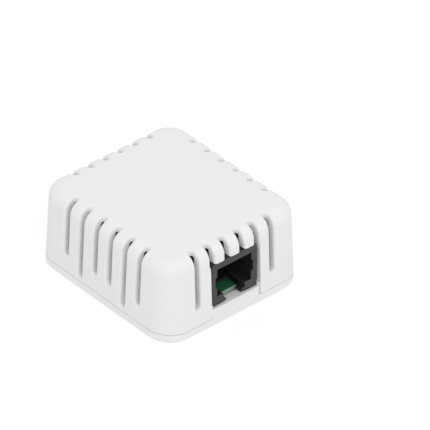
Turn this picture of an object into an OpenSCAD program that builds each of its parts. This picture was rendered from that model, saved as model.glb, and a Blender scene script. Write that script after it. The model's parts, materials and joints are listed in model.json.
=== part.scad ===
// Vented temperature and humidity sensor with a six-way modular jack.
// Millimetres, +Z up, origin at the middle of the underside, jack towards -Y.

/* [Case] */
// Width across the face with the jack
case_w = 41; // [39:0.5:46]
// Depth from the face with the jack to the back
case_d = 45.8; // [44:0.1:52]
// Height over all
case_h = 20.7; // [19.5:0.1:24]
// Radius of the upright corners at the foot
corner_r = 6.5; // [6:0.1:7.5]
// Radius of the rounded top edge
top_r = 3.2; // [2.6:0.1:3.6]
// Radius inside the rounded top edge
inner_r = 0.4; // [0.3:0.1:1.8]
// Lean of the outer walls, in degrees
draft = 2.6; // [1:0.1:3]
// Thickness of the cover's walls
wall = 2.2; // [1.8:0.1:2.4]
// Thickness of the cover's roof
roof = 1.6; // [1.4:0.1:2.2]
// Height of the joint line between base and cover
rim_h = 2.1; // [1.8:0.05:2.4]
// Height of the shadow groove along the joint line
reveal_h = 0.15; // [0.1:0.05:0.4]
// Depth of the shadow groove along the joint line
reveal_d = 0.4; // [0.3:0.1:0.8]

/* [Vents] */
// Slots on each side
slots_per_side = 6; // [4:1:7]
// Width of a slot
slot_w = 1.35; // [1.2:0.05:2]
// Spacing of the slots on the face with the jack and the back
slot_pitch_x = 4.34; // [3.6:0.02:4.5]
// Spacing of the slots on the two flanks
slot_pitch_y = 4.85; // [4:0.01:5]
// Height where the short slots end
slot_foot = 6.3; // [5:0.1:9]
// Height where the long slots end, the second from each end
long_slot_foot = 3; // [2.8:0.1:4.2]

/* [Base] */
// Thickness of the floor
floor_t = 1.2; // [0.9:0.1:1.4]
// Bevel round the underside
foot_bevel = 0.5; // [0.2:0.1:0.8]
// Thickness of the lip that the cover slides over
lip_t = 1.2; // [0.8:0.1:1.4]
// Height of the lip's top edge
lip_top = 4.8; // [4:0.1:5.4]
// Gap between the lip and the cover's walls
lip_gap = 0.25; // [0.15:0.05:0.4]
// Height of the clip tongues on the lip
clip_top = 6.2; // [5.6:0.1:7.4]
// Width of a clip tongue
clip_w = 3; // [2:0.1:4]
// Width of the cuts beside a clip tongue
clip_relief = 0.6; // [0.4:0.1:1]
// How far a clip's nose stands out of the tongue when it is pressed back
clip_nose = 0.12; // [0.05:0.01:0.14]
// Spacing of the wall-screw holes across the case
mount_dx = 24; // [22:0.5:25]
// Spacing of the wall-screw holes along the case
mount_dy = 32; // [29:0.5:33]
// Diameter of a wall-screw hole
mount_d = 3.6; // [3:0.1:4.2]
// Diameter of the raised pad round a wall-screw hole
mount_pad_d = 6; // [5.4:0.1:6.2]
// Height of that pad above the floor
mount_pad_h = 0.8; // [0.4:0.1:1.2]

/* [Sill] */
// How far the sill under the jack lies behind the foot of the case
sill_setback = 0.5; // [0.2:0.1:0.8]
// Thickness of the sill
sill_t = 2.3; // [2:0.1:2.6]
// Gap between the top of the sill and the underside of the jack
sill_gap = 0.25; // [0.1:0.05:0.6]
// How far the shelf behind the sill reaches under the board's front tongue
shelf_lap = 1.6; // [1.2:0.1:2]
// Gap between the ends of the sill and the cover
sill_end_gap = 0.15; // [0.1:0.05:0.3]
// Height of the sill's end posts above its top
sill_post_h = 1.05; // [0.4:0.05:2]
// Depth of those posts
sill_post_t = 1.4; // [1:0.1:1.8]
// Gap between a post and the jack
sill_post_gap = 0.1; // [0.05:0.05:0.2]

/* [Circuit board] */
// Thickness of the board
board_t = 1.6; // [1:0.1:1.6]
// Height of the stand-offs above the floor
standoff_h = 1.75; // [1.4:0.05:2]
// Gap between the board's edges and what holds them
board_gap = 0.35; // [0.2:0.05:0.5]
// Width of the tongues at the board's front and back
tongue_w = 14; // [13.6:0.1:14.2]
// Length of the wider middle of the board
board_mid = 23; // [21:0.5:23.5]
// Diameter of a stand-off
standoff_d = 4.6; // [3.8:0.1:5]
// Diameter of the locating pegs and of the screws' shanks
peg_d = 2; // [1.6:0.1:2.2]
// Distance of the board's fixings from its flanks
fixing_inset_x = 2.8; // [2.4:0.1:3.2]
// Distance of the board's fixings from the front and back of its middle
fixing_inset_y = 3; // [2.6:0.1:3.6]
// Gap round a peg or shank in its hole
peg_gap = 0.1; // [0.05:0.05:0.2]
// How far a locating peg stands out of the board
peg_tip = 0.5; // [0.3:0.1:0.8]
// Diameter of the rests under the back tongue
rest_d = 2.4; // [2:0.1:3]
// Diameter of a screw's head
screw_head_d = 3.8; // [3.2:0.1:4.2]
// Height of a screw's head
screw_head_h = 1.3; // [1:0.1:1.6]
// Radius of the dome on a screw's head
screw_dome_r = 2.7; // [2.5:0.1:4]
// Length of the cross recess in a screw's head
screw_recess_l = 2.3; // [1.8:0.1:2.6]
// Width of the arms of that recess
screw_recess_w = 0.6; // [0.4:0.05:0.8]
// Depth of that recess
screw_recess_h = 0.8; // [0.5:0.1:0.9]
// How deep a screw goes below the board
screw_depth = 2; // [1.5:0.1:2.1]
// Gap below the end of a screw
screw_tip_gap = 0.1; // [0.05:0.05:0.15]

/* [Jack] */
// Width of the jack
jack_w = 13.2; // [12.8:0.1:13.4]
// Height of the jack
jack_h = 11.5; // [11.2:0.1:11.8]
// Depth of the jack
jack_d = 17; // [16.5:0.1:18]
// Radius of the jack's two upper edges
jack_corner_r = 0.8; // [0.3:0.1:1]
// How far the jack's front lies behind the foot of the case
jack_setback = 1; // [0.9:0.05:1.2]
// How far the jack's front overhangs the board
jack_overhang = 3; // [2.8:0.05:3.2]
// Gap between the jack and the sides of its window
window_gap = 0.585; // [0.4:0.005:1]
// Gap between the top of the jack and the top of its window
window_top_gap = 0.15; // [0.1:0.05:0.6]
// Width of the plug's space at the top
plug_top_w = 10; // [9.8:0.1:10.2]
// Width of the plug's space at its guide grooves
plug_guide_w = 11; // [10.8:0.1:11.4]
// Width of the plug's space at the latch side
plug_low_w = 9.9; // [9.7:0.1:10.1]
// Width of the latch slot
latch_w = 6.3; // [6.1:0.1:7]
// Depth of the latch slot
latch_d = 9.5; // [8.5:0.5:10]
// Depth of its front part, which is open down to the board
latch_open_d = 6; // [5.5:0.1:7]
// Thickness of the floor behind that part
latch_floor_t = 0.6; // [0.4:0.1:0.8]
// Height of the latch slot above the board
latch_h = 2.35; // [2:0.05:2.5]
// Height of the guide grooves' lower edge above the board
guide_low = 4.65; // [4:0.05:5]
// Height of the guide grooves' upper edge above the board
guide_high = 7.55; // [7:0.05:8]
// Height of the plug's space above the board
plug_top = 9.65; // [9.3:0.05:9.8]
// Depth of the plug's space
plug_d = 12.8; // [12.4:0.1:13]
// Radius of the rounded latch shoulders
catch_r = 1.05; // [0.8:0.05:1.2]
// Depth of the latch shoulders
catch_d = 2; // [1:0.1:3]
// How far the latch shoulders lie behind the front
catch_setback = 0.15; // [0.1:0.05:1]
// Diameter of the jack's locating pegs
jack_peg_d = 3.1; // [2.6:0.1:3.2]
// Spacing of the jack's locating pegs
jack_peg_dx = 9.8; // [9.6:0.1:9.9]
// Distance of the jack's pegs behind its front
jack_peg_setback = 9; // [8.5:0.1:10]
// How far the jack's pegs stand out under the board
jack_peg_tip = 0.8; // [0.4:0.1:1]
// Gap between the insert and the housing
insert_gap = 0.1; // [0.05:0.05:0.2]
// Width of the back opening that takes the insert
insert_slot_w = 10.4; // [10:0.1:10.8]

/* [Contacts] */
// Contact wires in the jack
contacts = 6; // [2:2:6]
// Spacing of the contact wires
contact_pitch = 1.02; // [1:0.01:1.06]
// Diameter of a contact wire
wire_d = 0.45; // [0.35:0.05:0.5]
// Radius of the wires' front bend, to the middle of the wire
bend_r = 0.3; // [0.28:0.01:0.34]
// How far the front bend lies behind the jack's front
bend_setback = 2; // [1.6:0.1:2.4]
// Break between a wire's fixed run and its springing arm
arm_gap = 0.12; // [0.1:0.01:0.15]
// Length of a springing arm
arm_length = 10.8; // [10:0.1:11]
// Slope of a springing arm at rest, in degrees
arm_slope = 13; // [12.5:0.5:15]
// Height of the fixed run above the plug's space, to the middle of the wire
lead_rise = 0.35; // [0.3:0.01:0.4]
// Radius of the wires' back bend, to the middle of the wire
elbow_r = 0.5; // [0.4:0.05:0.6]
// Gap round a wire in its groove or hole
wire_gap = 0.12; // [0.08:0.02:0.14]
// Distance of the front row of tails behind the plug's space
tail_setback = 1.5; // [1.4:0.1:1.7]
// Spacing of the two rows of tails
tail_rows = 1.8; // [1.5:0.1:2]
// How far a tail stands out under the board
tail_tip = 0.9; // [0.5:0.1:1.1]
// Depth of the comb that guides the arms' tips
comb_d = 1; // [0.9:0.1:1]
// Diameter of a tail's hole in the board
tail_hole_d = 0.8; // [0.7:0.05:0.9]
// Diameter of a solder joint at the board
solder_d = 1.3; // [1.1:0.05:1.4]
// Height of a solder joint
solder_h = 0.7; // [0.4:0.1:0.8]
// Hairline gap between the solder and its wire
solder_gap = 0.01; // [0.01:0.01:0.03]

/* [Electronics] */
// Edge of the sensor chip
sensor_size = 2.5; // [2:0.1:3]
// Height of the sensor chip
sensor_h = 0.9; // [0.7:0.1:1.2]
// Diameter of the sensor's opening
sensor_port_d = 1; // [0.6:0.1:1.4]
// Depth of the sensor's opening
sensor_port_h = 0.3; // [0.2:0.1:0.4]
// Soldered feet along each of two sides of the sensor
sensor_feet = 4; // [2:1:4]
// Spacing of those feet
sensor_foot_pitch = 0.5; // [0.4:0.05:0.5]
// Width of one of those feet
sensor_foot_w = 0.25; // [0.2:0.01:0.3]
// Length of one of those feet
sensor_foot_l = 0.4; // [0.3:0.05:0.5]
// Thickness of one of those feet
sensor_foot_t = 0.05; // [0.03:0.01:0.1]
// Distance of the sensor from the back edge of the board
sensor_inset = 3; // [2.6:0.1:3.4]
// Width of the slots that keep the board's heat from the sensor
heat_slot_w = 1; // [0.8:0.1:1.4]
// Length of one of those slots
heat_slot_l = 4; // [3:0.1:4.4]
// Bridge left between those slots
heat_bridge = 2.4; // [1.6:0.1:3]
// Distance of the heat slots from the sensor
heat_slot_setback = 3.2; // [2.6:0.1:3.6]
// Distance of the parts in the board's two flanks from its edges
part_inset = 5.6; // [5.2:0.1:6]
// Place of the controller along the board
controller_y = 0.5; // [-1:0.1:1.5]
// Length of the controller
controller_l = 4.9; // [4.4:0.1:5.4]
// Width of the controller
controller_w = 3.9; // [3.4:0.1:4.4]
// Height of the controller
controller_h = 1.5; // [1.2:0.1:1.8]
// Leads along each long side of the controller
controller_pins = 4; // [2:1:4]
// Spacing of those leads
controller_pitch = 1.27; // [1.2:0.01:1.3]
// Place of the regulator along the board
regulator_y = -5; // [-5.5:0.1:-4.5]
// Length of the regulator
regulator_l = 2.9; // [2.6:0.1:3.2]
// Width of the regulator
regulator_w = 1.4; // [1.2:0.1:1.8]
// Height of the regulator
regulator_h = 1; // [0.9:0.1:1.2]
// Spacing of the regulator's paired leads
regulator_pitch = 1.9; // [1.8:0.05:2]
// Length of the surge diode
diode_l = 2.8; // [2.4:0.1:3.2]
// Width of the surge diode
diode_w = 1.8; // [1.4:0.1:2.2]
// Height of the surge diode
diode_h = 1.15; // [0.9:0.05:1.4]
// Distance of the surge diode behind the jack
diode_setback = 2.4; // [2:0.1:3]
// Place of the bulk capacitor along the board
bulk_y = -0.5; // [-0.8:0.1:0]
// Length of the bulk capacitor
bulk_l = 3.5; // [3.2:0.1:4]
// Width of the bulk capacitor
bulk_w = 2.8; // [2.4:0.1:3]
// Height of the bulk capacitor
bulk_h = 1.9; // [1.6:0.1:2.2]
// Width of the bulk capacitor's feet
bulk_foot_w = 2; // [1.6:0.1:2.3]
// Length of the bulk capacitor's feet under its body
bulk_foot_l = 0.8; // [0.5:0.1:1]
// Distance of the chip capacitor behind the controller
controller_capacitor_gap = 6; // [5.5:0.1:6.5]
// Distance of the chip capacitor in front of the regulator
regulator_capacitor_gap = 3.4; // [2.8:0.1:3.6]
// Distance of the chip capacitor behind the bulk capacitor
bulk_capacitor_gap = 3.7; // [3:0.1:4]
// Place of the sensor's chip capacitor across the board
sensor_capacitor_x = 4.6; // [3:0.1:5]
// Place of that capacitor on the way from the heat slots to the surge diode, as a share of it
sensor_capacitor_share = 0.25; // [0.2:0.01:0.28]
// Chip resistors in the row behind the surge diode
resistors = 4; // [2:1:4]
// Spacing of the chip resistors
resistor_pitch = 2.8; // [2.4:0.1:3]
// Place of the chip resistors on the way from the surge diode to the heat slots, as a share of it
resistor_share = 0.33; // [0.26:0.01:0.36]
// Length of a chip capacitor or resistor over its ends
chip_l = 2; // [1.6:0.1:2.2]
// Width of a chip capacitor or resistor
chip_w = 1.25; // [0.8:0.05:1.4]
// Length of a metal end on a chip capacitor or resistor
chip_end = 0.4; // [0.25:0.05:0.5]
// Height of a chip capacitor
capacitor_h = 1; // [0.6:0.05:1.2]
// Height of a chip resistor
resistor_h = 0.55; // [0.4:0.05:0.6]
// Thickness of a bent chip lead
lead_t = 0.2; // [0.12:0.02:0.25]
// Width of a bent chip lead
lead_w = 0.42; // [0.3:0.02:0.5]
// Length of a bent chip lead, out from the chip
lead_run = 1; // [0.7:0.05:1.2]
// Level run of a bent chip lead beside the chip
lead_shoulder = 0.3; // [0.2:0.05:0.35]
// Outward run of a bent chip lead while it drops to the board
lead_drop = 0.15; // [0.1:0.01:0.15]
// Clearance under a chip that stands on leads
chip_clearance = 0.12; // [0.05:0.01:0.2]

/* [Hidden] */
$fn = 64;
// How far a cutter runs past the face that it opens
over = 0.5;
// How far joined solids reach into each other
bite = 0.2;
slope = tan(draft);

// Case
edge_run = corner_r - round_start(0, case_h - top_r, top_r);
lip_inset = wall + lip_gap;
pocket_inset = lip_inset + lip_t;
front_y = -case_d / 2;

// Circuit board
board_z = floor_t + standoff_h;
board_top = board_z + board_t;
board_half_x = case_w / 2 - pocket_inset - slope * board_top - board_gap;
board_back_y = case_d / 2 - pocket_inset - slope * board_top - board_gap;
fixing_x = board_half_x - fixing_inset_x;
fixing_y = board_mid / 2 - fixing_inset_y;
fixing_hole_d = peg_d + 2 * peg_gap;
rest_x = tongue_w / 2 - rest_d / 2 - board_gap;
rest_y = board_back_y - rest_d / 2;

// Jack
jack_front = front_y + jack_setback;
jack_back = jack_front + jack_d;
jack_top = board_top + jack_h;
board_front_y = jack_front + jack_overhang;
plug_back = jack_front + plug_d;
plug_ceiling = board_top + plug_top;
jack_peg_y = jack_front + jack_peg_setback;
window_half = jack_w / 2 + window_gap;
window_top = jack_top + window_top_gap;
sill_front = front_y + sill_setback;
sill_top = board_top - sill_gap;
sill_half = window_half - sill_end_gap;

// Contacts
wire_r = wire_d / 2;
bend_y = jack_front + bend_setback;
lead_z = plug_ceiling + lead_rise;
arm_root_z = lead_z - 2 * bend_r;
arm_root_y = bend_y + arm_gap;
groove_w = wire_d + 2 * wire_gap;
insert_top = plug_ceiling - insert_gap;
tail_end_z = board_z - tail_tip;
function contact_x(i) = (i - (contacts + 1) / 2) * contact_pitch;
function tail_y(i) = plug_back + tail_setback + (i % 2) * tail_rows;

// Electronics
sensor_y = board_back_y - sensor_inset;
heat_slot_y = sensor_y - heat_slot_setback;
diode_y = jack_back + diode_setback;
free_y = heat_slot_y - diode_y;

// Places on the board: across, along and, for the small chips, the turn
part_x = board_half_x - part_inset;
controller_at = [-part_x, controller_y];
regulator_at = [part_x, regulator_y];
bulk_at = [part_x, bulk_y];
capacitors_at = [
    [-part_x, controller_y + controller_capacitor_gap, 0],
    [part_x, regulator_y - regulator_capacitor_gap, 0],
    [part_x, bulk_y + bulk_capacitor_gap, 0],
    [sensor_capacitor_x, heat_slot_y - sensor_capacitor_share * free_y, 90],
];
resistors_at = [
    for (i = [0 : resistors - 1])
        [(i - (resistors - 1) / 2) * resistor_pitch, diode_y + resistor_share * free_y, 90]
];

// Shared shapes of the case

// Distance from a corner's upright axis to a wall, by the wall's inset and the height
function wall_reach(inset, z) = corner_r - inset - slope * z;
// Where the rounding at the top of a wall has its axis, to a whole micrometre
function round_start(inset, z, edge_r) = round(1000 * (wall_reach(inset, z) - edge_r)) / 1000;

// Half of a leaning wall's outline with a rounded top edge
module domed_profile(inset, z0, z1, edge_r) {
    arc_z = z1 - edge_r;
    arc_x = round_start(inset, arc_z, edge_r);
    polygon([
        [0, z0],
        [wall_reach(inset, z0), z0],
        [arc_x + edge_r, arc_z],
        [arc_x, arc_z],
        [arc_x, z1],
        [0, z1],
    ]);
    translate([arc_x, arc_z])
        intersection() {
            circle(edge_r);
            square(edge_r);
        }
}

// Half of a leaning wall's outline with a plain top edge
module plain_profile(inset, z0, z1) {
    polygon([
        [0, z0],
        [wall_reach(inset, z0), z0],
        [wall_reach(inset, z1), z1],
        [0, z1],
    ]);
}

// Half of the base's rim, with the bevel round the underside
module rim_profile() {
    polygon([
        [0, 0],
        [wall_reach(foot_bevel, 0), 0],
        [wall_reach(0, foot_bevel), foot_bevel],
        [wall_reach(0, rim_h), rim_h],
        [0, rim_h],
    ]);
}

// A block with rounded corners: the child's outline along four sides and round four corners
module cornered_block(z0, z1) {
    run_x = case_w - 2 * corner_r;
    run_y = case_d - 2 * corner_r;
    translate([-run_x / 2, -run_y / 2, z0]) cube([run_x, run_y, z1 - z0]);
    for (turn = [0, 180])
        rotate([0, 0, turn]) {
            translate([run_x / 2, run_y / 2, 0])
                rotate([90, 0, 0])
                    linear_extrude(run_y) children();
            translate([-run_x / 2, run_y / 2, 0])
                rotate([90, 0, 90])
                    linear_extrude(run_x) children();
            translate([run_x / 2, run_y / 2, 0])
                rotate_extrude(angle = 90) children();
            translate([-run_x / 2, run_y / 2, 0])
                rotate([0, 0, 90])
                    rotate_extrude(angle = 90) children();
        }
}

// Cover

module cover() {
    color("white")
        difference() {
            cornered_block(rim_h, case_h) domed_profile(0, rim_h, case_h, top_r);
            cornered_block(rim_h - over, case_h - roof)
                domed_profile(wall, rim_h - over, case_h - roof, inner_r);
            reveal_groove();
            vent_slots();
            jack_window();
        }
}

module reveal_groove() {
    difference() {
        translate([-case_w / 2 - over, -case_d / 2 - over, rim_h - over])
            cube([case_w + 2 * over, case_d + 2 * over, over + reveal_h]);
        cornered_block(rim_h - 2 * over, rim_h + over)
            plain_profile(reveal_d, rim_h - 2 * over, rim_h + over);
    }
}

module vent_slots() {
    for (turn = [0, 180]) {
        rotate([0, 0, turn]) slot_row(case_d / 2, slot_pitch_x);
        rotate([0, 0, turn + 90]) slot_row(case_w / 2, slot_pitch_y);
    }
}

// A row of slots through one wall and on over the rounded edge as far as the flat roof
module slot_row(half, pitch) {
    for (i = [0 : slots_per_side - 1]) {
        foot = (i == 1 || i == slots_per_side - 2) ? long_slot_foot : slot_foot;
        middle = (i - (slots_per_side - 1) / 2) * pitch;
        translate([middle, -half, 0]) vent_slot(foot);
    }
}

// One slot inwards from y = 0, with a round foot in the wall and a round end in the roof
module vent_slot(foot) {
    intersection() {
        rotate([90, 0, 0])
            linear_extrude(2 * (edge_run + over), center = true)
                round_strip(foot, case_h + over);
        linear_extrude(case_h + over)
            rotate([0, 0, 180]) round_strip(-edge_run, over);
    }
}

// A strip as wide as a slot that runs in +Y from a round start
module round_strip(start, stop) {
    middle = start + slot_w / 2;
    translate([0, middle]) circle(d = slot_w);
    translate([-slot_w / 2, middle]) square([slot_w, stop - middle]);
}

module jack_window() {
    translate([-window_half, front_y - over, rim_h - over])
        cube([2 * window_half, wall + slope * window_top + 2 * over, window_top - rim_h + over]);
}

// Base

module base() {
    color("white") {
        difference() {
            union() {
                cornered_block(0, rim_h) rim_profile();
                cornered_block(floor_t, lip_top) plain_profile(lip_inset, floor_t, lip_top);
            }
            cornered_block(floor_t, lip_top + over)
                plain_profile(pocket_inset, floor_t, lip_top + over);
            tongue_notch();
            each_clip() clip_relief_cuts();
            mount_positions() translate([0, 0, -over]) cylinder(d = mount_d, h = floor_t + 2 * over);
            screw_positions() screw_hole();
        }
        sill();
        each_clip() clip_tongue();
        mount_positions() mount_pad();
        board_standoffs();
    }
}

// Gap in the lip for the jack, as wide as the board's front tongue
module tongue_notch() {
    half = tongue_w / 2 + board_gap;
    translate([-half, front_y, board_z])
        cube([2 * half, pocket_inset + 2 * over, lip_top - board_z + over]);
}

module mount_positions() {
    for (side = [-1, 1])
        translate([side * mount_dx / 2, side * mount_dy / 2, 0]) children();
}

module mount_pad() {
    translate([0, 0, floor_t - bite])
        difference() {
            cylinder(d = mount_pad_d, h = mount_pad_h + bite);
            translate([0, 0, -over]) cylinder(d = mount_d, h = mount_pad_h + 2 * over);
        }
}

// Each clip's place: two on each flank and two at the back, behind the long slots
module each_clip() {
    reach = (slots_per_side - 3) / 2;
    for (side = [-1, 1]) {
        translate([side * reach * slot_pitch_x, case_d / 2 - lip_inset, 0])
            rotate([0, 0, 180]) children();
        for (turn = [-90, 90])
            rotate([0, 0, turn])
                translate([side * reach * slot_pitch_y, -case_w / 2 + lip_inset, 0]) children();
    }
}

// The two cuts that free a clip tongue from the lip
module clip_relief_cuts() {
    for (side = [-1, 1])
        translate([side * (clip_w + clip_relief) / 2 - clip_relief / 2, -over, rim_h])
            cube([clip_relief, lip_t + 2 * over, lip_top - rim_h + over]);
}

// A tongue as thick as the lip, with a pressed-back nose on its outer face
module clip_tongue() {
    nose_h = (clip_top - lip_top) / 4;
    nose_y = slope * clip_top - clip_nose;
    inner_y = slope * rim_h + lip_t;
    translate([-clip_w / 2, 0, 0])
        rotate([90, 0, 90])
            linear_extrude(clip_w)
                polygon([
                    [slope * rim_h, rim_h - bite],
                    [inner_y, rim_h - bite],
                    [inner_y, clip_top],
                    [slope * clip_top + bite, clip_top],
                    [nose_y, lip_top + 2 * nose_h],
                    [nose_y, lip_top + nose_h],
                    [slope * lip_top, lip_top],
                ]);
}

// Sill under the jack, the shelf that carries the board's tongue, and the two end posts
module sill() {
    shelf_back = board_front_y + shelf_lap;
    post_w = sill_half - jack_w / 2 - sill_post_gap;
    translate([-sill_half, sill_front, floor_t - bite]) {
        cube([2 * sill_half, shelf_back - sill_front, board_z - floor_t + bite]);
        cube([2 * sill_half, sill_t, sill_top - floor_t + bite]);
    }
    for (side = [-1, 1])
        translate([side * (sill_half - post_w / 2) - post_w / 2, sill_front, rim_h])
            cube([post_w, sill_post_t, sill_top + sill_post_h - rim_h]);
}

module screw_positions() {
    for (side = [-1, 1])
        translate([side * fixing_x, side * fixing_y, 0]) children();
}

// Hole that takes a screw's shank, through its boss and a little into the floor
module screw_hole() {
    translate([0, 0, board_z - screw_depth - screw_tip_gap])
        cylinder(d = fixing_hole_d, h = screw_depth + screw_tip_gap + over);
}

// Two bosses for the screws, two with locating pegs, and two rests under the back tongue
module board_standoffs() {
    screw_positions() screw_boss();
    for (side = [-1, 1]) {
        translate([side * fixing_x, -side * fixing_y, 0]) peg_boss();
        translate([side * rest_x, rest_y, floor_t - bite]) cylinder(d = rest_d, h = standoff_h + bite);
    }
}

module screw_boss() {
    difference() {
        translate([0, 0, floor_t - bite]) cylinder(d = standoff_d, h = standoff_h + bite);
        screw_hole();
    }
}

module peg_boss() {
    translate([0, 0, floor_t - bite]) cylinder(d = standoff_d, h = standoff_h + bite);
    translate([0, 0, board_z - bite]) cylinder(d = peg_d, h = board_t + peg_tip + bite);
}

// Circuit board

module circuit_board() {
    color("seagreen")
        translate([0, 0, board_z])
            difference() {
                linear_extrude(board_t) board_outline();
                translate([0, 0, -over])
                    linear_extrude(board_t + 2 * over) board_holes();
            }
}

module board_outline() {
    translate([-board_half_x, -board_mid / 2]) square([2 * board_half_x, board_mid]);
    translate([-tongue_w / 2, board_front_y]) square([tongue_w, board_back_y - board_front_y]);
}

module board_holes() {
    for (side = [-1, 1]) {
        for (along = [-1, 1])
            translate([side * fixing_x, along * fixing_y]) circle(d = fixing_hole_d);
        translate([side * jack_peg_dx / 2, jack_peg_y]) circle(d = jack_peg_d + 2 * peg_gap);
        translate([side * (heat_bridge / 2 + heat_slot_l / 2) - heat_slot_l / 2, heat_slot_y])
            square([heat_slot_l, heat_slot_w]);
    }
    for (i = [1 : contacts])
        translate([contact_x(i), tail_y(i)]) circle(d = tail_hole_d);
}

module board_screws() {
    color("silver")
        screw_positions() translate([0, 0, board_top]) screw();
}

// Pan-head screw with a cross recess, its seat at the origin
module screw() {
    translate([0, 0, -board_t - screw_depth]) cylinder(d = peg_d, h = board_t + screw_depth + bite);
    difference() {
        intersection() {
            cylinder(d = screw_head_d, h = screw_head_h);
            translate([0, 0, screw_head_h - screw_dome_r]) sphere(screw_dome_r);
        }
        for (turn = [0, 90])
            rotate([0, 0, turn])
                translate([-screw_recess_l / 2, -screw_recess_w / 2, screw_head_h - screw_recess_h])
                    cube([screw_recess_l, screw_recess_w, screw_recess_h + over]);
    }
}

// Jack

module jack_housing() {
    color([0.25, 0.25, 0.27]) {
        difference() {
            translate([0, jack_back, board_top])
                rotate([90, 0, 0])
                    linear_extrude(jack_d) jack_outline();
            plug_space();
            latch_slot();
            insert_slot();
            wire_grooves();
        }
        latch_shoulders();
        jack_pegs();
    }
}

// The jack from the front, with two rounded upper corners
module jack_outline() {
    middle = jack_w / 2 - jack_corner_r;
    translate([-jack_w / 2, 0]) square([jack_w, jack_h - jack_corner_r]);
    translate([-middle, 0]) square([2 * middle, jack_h]);
    for (side = [-1, 1])
        translate([side * middle, jack_h - jack_corner_r]) circle(jack_corner_r);
}

// Stepped space that takes the plug, wider where its guide grooves are
module plug_space() {
    plug_slice(plug_low_w, latch_h, guide_low);
    plug_slice(plug_guide_w, guide_low, guide_high);
    plug_slice(plug_top_w, guide_high, plug_top);
}

// One step of the plug's space, between two heights above the board
module plug_slice(width, low, high) {
    translate([-width / 2, jack_front - over, board_top + low])
        cube([width, plug_d + over, high - low]);
}

// Slot that takes the plug's latch, with a floor behind its open front
module latch_slot() {
    translate([-latch_w / 2, jack_front - over, board_top - over])
        cube([latch_w, latch_open_d + over, latch_h + over]);
    translate([-latch_w / 2, jack_front - over, board_top + latch_floor_t])
        cube([latch_w, latch_d + over, latch_h - latch_floor_t]);
}

// Rounded shoulders in the foot of the latch slot that hold a plug's latch
module latch_shoulders() {
    for (side = [-1, 1])
        translate([side * latch_w / 2, jack_front + catch_setback, board_top])
            intersection() {
                rotate([-90, 0, 0]) cylinder(r = catch_r, h = catch_d);
                translate([-catch_r, 0, 0]) cube([2 * catch_r, catch_d, catch_r]);
            }
}

module insert_slot() {
    translate([-insert_slot_w / 2, plug_back - bite, board_top - over])
        cube([insert_slot_w, jack_back - plug_back + bite + over, plug_top + over]);
}

// Grooves in the ceiling of the plug's space for the fixed runs of the wires
module wire_grooves() {
    front = bend_y - bend_r - groove_w / 2;
    for (i = [1 : contacts])
        translate([contact_x(i) - groove_w / 2, front, plug_ceiling - over])
            cube([groove_w, jack_back - front + over, lead_z - plug_ceiling + groove_w / 2 + over]);
}

module jack_pegs() {
    length = board_t + jack_peg_tip + bite;
    for (side = [-1, 1])
        translate([side * jack_peg_dx / 2, jack_peg_y, board_top + bite - length])
            cylinder(d = jack_peg_d, h = length);
}

module jack_insert() {
    width = insert_slot_w - 2 * insert_gap;
    color([0.18, 0.18, 0.2])
        difference() {
            translate([-width / 2, plug_back, board_top])
                cube([width, jack_back - plug_back - insert_gap, insert_top - board_top]);
            for (i = [1 : contacts]) {
                translate([contact_x(i), tail_y(i), board_top - over])
                    cylinder(d = groove_w, h = insert_top - board_top + 2 * over);
                comb_slot(i);
            }
        }
}

// Slot in the insert's front that the tip of one springing arm moves in
module comb_slot(i) {
    tip_z = arm_root_z - (arm_length + wire_r) * sin(arm_slope);
    translate([contact_x(i) - groove_w / 2, plug_back - over, tip_z - wire_d])
        cube([groove_w, comb_d + over, insert_top - tip_z + wire_d + over]);
}

// Contacts

// The fixed run: front bend, run along the ceiling, back bend and tail through the board
module contact_lead(i) {
    color("gold")
        translate([contact_x(i), 0, 0]) {
            translate([0, bend_y, lead_z - bend_r])
                rotate([90, 0, 90])
                    rotate([0, 0, 90])
                        wire_bend(bend_r, 180);
            translate([0, bend_y, lead_z])
                rotate([-90, 0, 0]) cylinder(r = wire_r, h = tail_y(i) - elbow_r - bend_y);
            translate([0, tail_y(i) - elbow_r, lead_z - elbow_r])
                rotate([90, 0, 90])
                    wire_bend(elbow_r, 90);
            translate([0, tail_y(i), tail_end_z])
                cylinder(r = wire_r, h = lead_z - elbow_r - tail_end_z);
        }
}

module wire_bend(radius, turn) {
    rotate_extrude(angle = turn) translate([radius, 0]) circle(wire_r);
}

// The springing arm: from just behind the front bend, sloping down to the back
module contact_spring(i) {
    color("gold")
        translate([contact_x(i), arm_root_y, arm_root_z])
            rotate([-90 - arm_slope, 0, 0]) {
                cylinder(r = wire_r, h = arm_length);
                translate([0, 0, arm_length]) sphere(wire_r);
            }
}

module solder_joints() {
    color("silver")
        for (i = [1 : contacts])
            translate([contact_x(i), tail_y(i), board_z - solder_h])
                difference() {
                    cylinder(d1 = wire_d + 2 * wire_gap, d2 = solder_d, h = solder_h);
                    translate([0, 0, -over])
                        cylinder(d = wire_d + 2 * solder_gap, h = solder_h + 2 * over);
                }
}

// Electronics

// A bent lead that runs out along +X from a chip's flank and down to the board
module bent_lead(leave_z) {
    toe = lead_shoulder + lead_drop;
    translate([0, lead_w / 2, 0])
        rotate([90, 0, 0])
            linear_extrude(lead_w)
                polygon([
                    [0, leave_z],
                    [lead_shoulder, leave_z],
                    [toe, 0],
                    [lead_run, 0],
                    [lead_run, lead_t],
                    [toe + lead_t, lead_t],
                    [lead_shoulder + lead_t, leave_z + lead_t],
                    [0, leave_z + lead_t],
                ]);
}

// A row of bent leads along one long flank of a chip
module lead_row(count, pitch, half_width, leave_z) {
    for (i = [0 : count - 1])
        translate([(i - (count - 1) / 2) * pitch, half_width, board_top])
            rotate([0, 0, 90]) bent_lead(leave_z);
}

// A block that stands on its leads, clear of the board
module chip_block(size) {
    translate([-size[0] / 2, -size[1] / 2, board_top + chip_clearance]) cube(size);
}

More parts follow.
